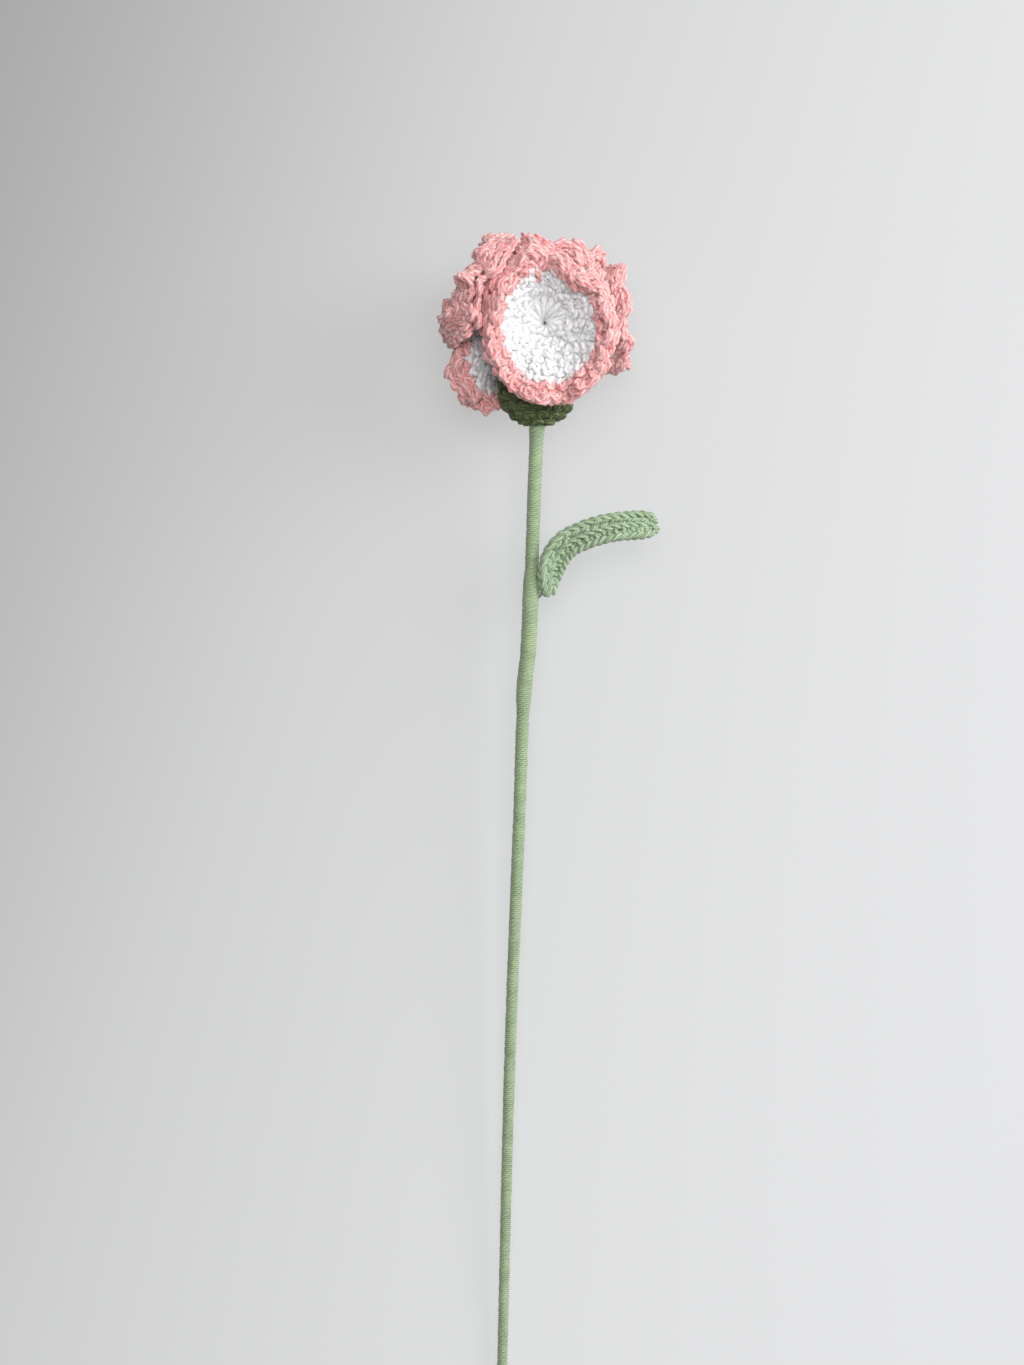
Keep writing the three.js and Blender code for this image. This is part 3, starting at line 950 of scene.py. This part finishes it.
leafPoints = leafLine()
leafSteps = 200
leafSamples = [catmull(leafPoints, i / leafSteps) for i in range(leafSteps + 1)]
leafLengths = [0.0]
for low, high in zip(leafSamples, leafSamples[1:]):
    leafLengths.append(leafLengths[-1] + (high - low).length)
leafLength = leafLengths[-1]
leafShape = {
    "twist": (40, -12),  # degrees, at the foot and at the tip
    "cup": 0.8,
    "footShare": 0.2,
    "footTaper": 1.6,  # how many widths it takes to come to its full width
    "tipShare": 0.35,
}
# a post is a stitch from the middle to the edge; turns are for each post that a chain passes
leafStitch = {
    "yarn": 1.8,
    "posts": 15,
    "edge": 0.9,  # how far the posts end from the leaf's edge
    "post": {"from": 0.02, "to": 0.035, "height": 0.1, "turns": 0.7, "spread": 0.85},
    "edgeChain": {"inset": 0.2, "height": 0.75, "turns": 0.62, "spread": 0.62, "thick": 0.9},
    "middleChain": {"height": 0.7, "turns": 0.55, "spread": 0.6, "thick": 0.85},
}


def onLeaf(t, across, height):
    # t runs from the foot to the tip, across and height are in millimetres
    goal = min(1, max(0, t)) * leafLength
    i = 0
    while i < leafSteps - 1 and leafLengths[i + 1] < goal:
        i += 1
    share = (goal - leafLengths[i]) / (leafLengths[i + 1] - leafLengths[i])
    centre = leafSamples[i].lerp(leafSamples[i + 1], share)
    along = (leafSamples[i + 1] - leafSamples[i]).normalized()
    twist = math.radians(lerp(*leafShape["twist"], smoothstep(0, 0.7, t)))
    side = Vector((0, 0, 1)).cross(along).normalized()
    width = side * math.cos(twist) + Vector((0, 0, 1)) * math.sin(twist)
    thick = along.cross(width).normalized()
    fromFoot = t * leafLength / (leafShape["footTaper"] * leaf["width"])
    fromTip = (1 - t) * leafLength / leaf["width"]
    full = min(1, leafShape["footShare"] + fromFoot, leafShape["tipShare"] + fromTip)
    narrow = math.sin(full * math.pi / 2)
    half = leaf["width"] / 2
    cup = (across * narrow / half) ** 2 * leafShape["cup"]
    return centre + width * (across * narrow) + thick * (height + cup), thick


def makeLeaf():
    rng = random.Random(8)
    curve = newYarnCurve("leaf", leafStitch["yarn"])
    edge = leaf["width"] / 2 - leafStitch["edge"]
    count = leafStitch["posts"]
    post, edgeChain, middleChain = (leafStitch[name] for name in ("post", "edgeChain", "middleChain"))

    def work(places, turns, spread, width, phase=0.0):
        centres, normals = zip(*(onLeaf(*at) for at in places))
        twistedPair(curve, centres, normals, turns, spread, width, phase)

    for side in (-1, 1):
        across = side * (edge - edgeChain["inset"])
        for face in (-1, 1):
            places = [(lerp(0.02, 0.98, k / 90), across, face * edgeChain["height"]) for k in range(91)]
            turns = side * face * count * edgeChain["turns"]
            work(places, turns, edgeChain["spread"], edgeChain["thick"])
        for i in range(count):
            t = lerp(0.04, 1, (i + 0.5 + rng.uniform(-0.1, 0.1)) / count)
            places = [
                (
                    lerp(t - post["from"], t + post["to"], k / 7),
                    side * lerp(0.6, edge - 0.6, k / 7),
                    post["height"],
                )
                for k in range(8)
            ]
            thick = rng.uniform(0.95, 1.1)
            work(places, post["turns"], post["spread"], thick, rng.uniform(0, fullTurn))
    for face in (-1, 1):
        places = [(lerp(0.0, 0.95, k / 80), 0, face * middleChain["height"]) for k in range(81)]
        work(places, count * middleChain["turns"], middleChain["spread"], middleChain["thick"])
    finishPiece("leafYarn", curve, "leafYarn", ["leaf"])


makeLeaf()

# winding that binds the petals to the wire

sewing = {"yarn": 1.6, "innerRadius": 2.2, "outerRadius": 5, "height": 7, "top": 28.5, "turns": 9}


def makeSewing():
    curve = newYarnCurve("sewing", sewing["yarn"])
    points = []
    steps = sewing["turns"] * 12
    inset = sewing["yarn"] / 2
    for i in range(steps + 1):
        s = i / steps
        radius = lerp(sewing["innerRadius"], sewing["outerRadius"] - inset, math.sin(math.pi * s))
        sweep = 0.5 - 0.5 * math.cos(3 * math.pi * s)
        y = sewing["top"] - inset - (sewing["height"] - 2 * inset) * sweep
        angle = fullTurn * sewing["turns"] * s
        points.append(Vector((radius * math.sin(angle), y, radius * math.cos(angle))))
    addStrand(curve, points)
    finishPiece("sewingYarn", curve, "whiteYarn", ["sewing_yarn"])


makeSewing()

# bare wires

wire = {
    "colour": (0.50, 0.51, 0.50),
    "dull": (0.30, 0.31, 0.30),
    "drawn": (3000, 60, 3000),  # the fine marks run along the wire
    "roughness": 0.38,
}


def makeWireMaterial():
    material = bpy.data.materials.new("wireSteel")
    material.use_nodes = True
    tree = material.node_tree
    shader = tree.nodes["Principled BSDF"]
    where = tree.nodes.new("ShaderNodeTexCoord")
    drawn = tree.nodes.new("ShaderNodeMapping")
    drawn.inputs["Scale"].default_value = wire["drawn"]
    link(tree, where.outputs["Object"], drawn.inputs["Vector"])
    noise = tree.nodes.new("ShaderNodeTexNoise")
    noise.inputs["Scale"].default_value = 1
    link(tree, drawn.outputs["Vector"], noise.inputs["Vector"])
    mix = tree.nodes.new("ShaderNodeMix")
    mix.data_type = "RGBA"
    mix.inputs["A"].default_value = (*wire["colour"], 1)
    mix.inputs["B"].default_value = (*wire["dull"], 1)
    link(tree, noise.outputs["Fac"], mix.inputs["Factor"])
    link(tree, mix.outputs["Result"], shader.inputs["Base Color"])
    shader.inputs["Metallic"].default_value = 1
    shader.inputs["Roughness"].default_value = wire["roughness"]
    return material


wireMaterial = makeWireMaterial()
for name in ("stem_wire", "leaf_wire"):
    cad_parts[name].material_slots[0].material = wireMaterial

# table and light

# the glow is painted light that the table gives off, by metres from the left, a little more on the right
table = {
    "size": 6.0,
    "colour": (0.16, 0.16, 0.165),
    "roughness": 0.9,
    "specular": 0.1,
    "paintedGlow": [(-0.34, (0.13, 0.13, 0.12)), (-0.12, (0.48, 0.485, 0.48)), (0.2, (0.60, 0.605, 0.61))],
    "paintedGlowSlope": 0.4,  # how many metres to the right a metre nearer counts for
}


def makeTable():
    # a pale sheet that glows with painted light, more so towards the right and the near end, standing in
    # for the studio light falling off across it and softening the flower's shadow on it
    bm = bmesh.new()
    bmesh.ops.create_grid(bm, x_segments=1, y_segments=1, size=table["size"] / 2)
    mesh = bpy.data.meshes.new("table")
    bm.to_mesh(mesh)
    bm.free()
    made = bpy.data.objects.new("table", mesh)
    bpy.context.scene.collection.objects.link(made)
    material = bpy.data.materials.new("paleTable")
    material.use_nodes = True
    tree = material.node_tree
    shader = tree.nodes["Principled BSDF"]
    where = tree.nodes.new("ShaderNodeTexCoord")
    split = tree.nodes.new("ShaderNodeSeparateXYZ")
    link(tree, where.outputs["Object"], split.inputs[0])
    sloped = mathNode(tree, "MULTIPLY", split.outputs["Y"], -table["paintedGlowSlope"])
    across = mathNode(tree, "ADD", split.outputs["X"], sloped)
    low, high = table["paintedGlow"][0][0], table["paintedGlow"][-1][0]
    share = mathNode(tree, "DIVIDE", mathNode(tree, "SUBTRACT", across, low), high - low, clamp=True)
    ramp = tree.nodes.new("ShaderNodeValToRGB")
    ramp.color_ramp.interpolation = "B_SPLINE"
    ramp.color_ramp.elements.new(0.5)
    for element, (spot, colour) in zip(ramp.color_ramp.elements, table["paintedGlow"]):
        element.position = (spot - low) / (high - low)
        element.color = (*colour, 1)
    link(tree, share, ramp.inputs[0])
    # the emission is painted light: the table glows brighter to the right rather than being lit that way
    # by a lamp
    link(tree, ramp.outputs["Color"], shader.inputs["Emission Color"])
    shader.inputs["Emission Strength"].default_value = 1
    shader.inputs["Base Color"].default_value = (*table["colour"], 1)
    shader.inputs["Roughness"].default_value = table["roughness"]
    shader.inputs["Specular IOR Level"].default_value = table["specular"]
    mesh.materials.append(material)


# where each stands from the middle of the stem, its size in metres and its strength
lights = {
    "key": {"from": (1.2, 0.5, 0.85), "size": 1.0, "watts": 21},
    "fill": {"from": (0.1, 0.15, 1.5), "size": 1.0, "watts": 18},
}

# the room's own light, and how much more of it comes from the right
room = {"colour": (0.97, 0.97, 1.0), "strength": 0.21, "slope": 0.19}


def makeLights():
    middle = place(Vector((0, -40, 0)))
    for name, look in lights.items():
        data = bpy.data.lights.new(name, "AREA")
        data.shape = "DISK"
        data.size = look["size"]
        data.energy = look["watts"]
        made = bpy.data.objects.new(name, data)
        bpy.context.scene.collection.objects.link(made)
        away = Vector(look["from"])
        turned = away.to_track_quat("Z", "Y").to_matrix().to_4x4()
        made.matrix_world = Matrix.Translation(middle + away) @ turned
    world = bpy.data.worlds.new("studio")
    world.use_nodes = True
    sky = world.node_tree.nodes["Background"]
    sky.inputs["Color"].default_value = (*room["colour"], 1)
    tree = world.node_tree
    way = tree.nodes.new("ShaderNodeTexCoord")
    split = tree.nodes.new("ShaderNodeSeparateXYZ")
    link(tree, way.outputs["Generated"], split.inputs[0])
    sideways = mathNode(tree, "MULTIPLY", split.outputs["X"], room["slope"])
    link(tree, mathNode(tree, "ADD", sideways, room["strength"]), sky.inputs["Strength"])
    bpy.context.scene.world = world


makeTable()
makeLights()
bpy.context.scene.view_settings.view_transform = "Standard"
print("table and lights made")
